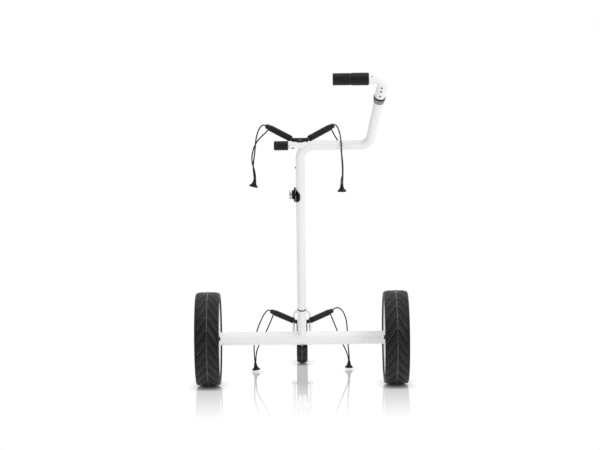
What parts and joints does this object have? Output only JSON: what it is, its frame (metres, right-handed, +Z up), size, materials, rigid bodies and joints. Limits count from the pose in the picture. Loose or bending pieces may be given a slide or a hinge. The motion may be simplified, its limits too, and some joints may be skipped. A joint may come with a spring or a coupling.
{
  "type": "golf push trolley",
  "caption": "Three-wheeled golf push trolley with two large rear wheels, a small forked front wheel, a leaning mast, a cranked handle and padded bag brackets with elastic cords",
  "frame": {"origin": "on the floor, midway between the rear wheels and under the rear axle, which is the bottom centre of the bounding box", "axes": "+X to the user's right along the rear axle, +Y forwards to the front wheel, +Z up"},
  "size_m": [0.626, 0.9283, 0.9323],
  "materials": {
    "steel_white": "gloss white powder coat on steel tube",
    "alu_white": "gloss white powder coat on aluminium tube",
    "steel_black": "satin black coated steel rod",
    "foam_black": "matt closed-cell foam sleeve with a fine grain",
    "tyre_black": "matt black tyre rubber with a chevron tread",
    "rim_white": "gloss white moulded plastic",
    "hub_black": "matt black moulded plastic",
    "steel_bright": "bright turned steel",
    "screw_dark": "dark oxidised steel screws",
    "button_grey": "grey moulded plastic button",
    "cord_black": "black woven cover over elastic cord",
    "hook_black": "satin black moulded plastic",
    "knob_black": "fine textured black moulded plastic",
    "insert_silver": "turned satin aluminium",
    "cap_rubber": "matt ribbed rubber",
    "grip_rubber": "matt moulded grip rubber with a knurled band",
    "collar_grey": "satin grey aluminium collar",
    "tube_bare": "bare drawn aluminium tube"
  },
  "bodies": {
    "frame": {"axle_tube": "steel_white", "axle_end_plugs": "hub_black", "axle_stub_shafts": "screw_dark", "stub_clips": "screw_dark", "mast_socket": "steel_white", "socket_plug": "tube_bare", "joint_ring": "hub_black", "front_arm": "steel_white", "arm_bolt": "screw_dark", "fork": "steel_white", "front_axle_bolt": "steel_bright", "front_axle_nuts": "steel_bright", "lower_post": "steel_black", "lower_bracket": "steel_black", "lower_sleeve_left": "foam_black", "lower_sleeve_right": "foam_black", "lower_tip_plugs": "hook_black", "cord_lower_left": "cord_black", "cord_lower_right": "cord_black", "hook_lower_left": "hook_black", "hook_lower_right": "hook_black"},
    "rear_wheel_left": {"rear_tyre_left": "tyre_black", "rear_rim_left": "rim_white", "rear_hub_left": "hub_black", "rear_bearings_left": "steel_bright"},
    "rear_wheel_right": {"rear_tyre_right": "tyre_black", "rear_rim_right": "rim_white", "rear_hub_right": "hub_black", "rear_bearings_right": "steel_bright"},
    "release_left": {"release_button_left": "button_grey"},
    "release_right": {"release_button_right": "button_grey"},
    "front_wheel": {"front_tyre": "tyre_black", "front_rim": "rim_white", "front_bearings": "steel_bright"},
    "mast": {"mast_tube": "alu_white", "knob_saddle": "knob_black"},
    "knob": {"star_knob": "knob_black", "knob_insert": "insert_silver"},
    "crank": {"crank_tube": "alu_white", "slide_tube": "tube_bare", "stub_tube": "alu_white", "stub_screw": "screw_dark", "upper_saddle": "steel_black", "upper_bracket": "steel_black", "upper_sleeve_left": "foam_black", "upper_sleeve_right": "foam_black", "upper_tip_plugs": "hook_black", "cord_upper_left": "cord_black", "cord_upper_right": "cord_black", "hook_upper_left": "hook_black", "hook_upper_right": "hook_black"},
    "mast_button": {"sleeve_button": "button_grey"},
    "cap": {"stub_cap": "cap_rubber"},
    "latch_button": {"height_button": "button_grey"},
    "handle": {"handle_tube": "alu_white", "grip_inner": "grip_rubber", "grip_outer": "grip_rubber", "handle_screw": "steel_bright"},
    "collar": {"collar_nut": "collar_grey", "collar_ring": "hub_black"}
  },
  "joints": [
    {"name": "rear_left_spin", "type": "hinge", "parent": "frame", "child": "rear_wheel_left", "pos_m": [-0.277, 0, 0.14], "axis": [1, 0, 0], "continuous": true},
    {"name": "rear_right_spin", "type": "hinge", "parent": "frame", "child": "rear_wheel_right", "pos_m": [0.277, 0, 0.14], "axis": [1, 0, 0], "continuous": true},
    {"name": "front_spin", "type": "hinge", "parent": "frame", "child": "front_wheel", "pos_m": [0, 0.4, 0.065], "axis": [1, 0, 0], "continuous": true},
    {"name": "left_release", "type": "slide", "parent": "rear_wheel_left", "child": "release_left", "axis": [1, 0, 0], "range_m": [0, 0.0025], "stiffness_N_per_m": 400},
    {"name": "right_release", "type": "slide", "parent": "rear_wheel_right", "child": "release_right", "axis": [-1, 0, 0], "range_m": [0, 0.0025], "stiffness_N_per_m": 400},
    {"name": "mast_pull", "type": "slide", "parent": "frame", "child": "mast", "axis": [0, -0.4787, 0.878], "range_m": [0, 0.06]},
    {"name": "crank_height", "type": "slide", "parent": "mast", "child": "crank", "axis": [0, -0.4787, 0.878], "range_m": [0, 0.08]},
    {"name": "knob_turn", "type": "hinge", "parent": "mast", "child": "knob", "pos_m": [0, -0.24318, 0.58601], "axis": [-1, 0, 0], "range_deg": [-180, 180]},
    {"name": "mast_button_press", "type": "slide", "parent": "crank", "child": "mast_button", "axis": [1, 0, 0], "range_m": [0, 0.0025], "stiffness_N_per_m": 600},
    {"name": "cap_pull", "type": "slide", "parent": "crank", "child": "cap", "axis": [-1, 0, 0], "range_m": [0, 0.03]},
    {"name": "handle_height", "type": "slide", "parent": "crank", "child": "handle", "axis": [0.1588, -0.5504, 0.8197], "range_m": [-0.02, 0]},
    {"name": "latch_press", "type": "slide", "parent": "crank", "child": "latch_button", "axis": [0.1046, 0.8349, 0.5403], "range_m": [0, 0.0025], "stiffness_N_per_m": 600},
    {"name": "collar_turn", "type": "hinge", "parent": "handle", "child": "collar", "pos_m": [0.21708, -0.40816, 0.85864], "axis": [0.1588, -0.5504, 0.8197], "range_deg": [-90, 90]}
  ]
}
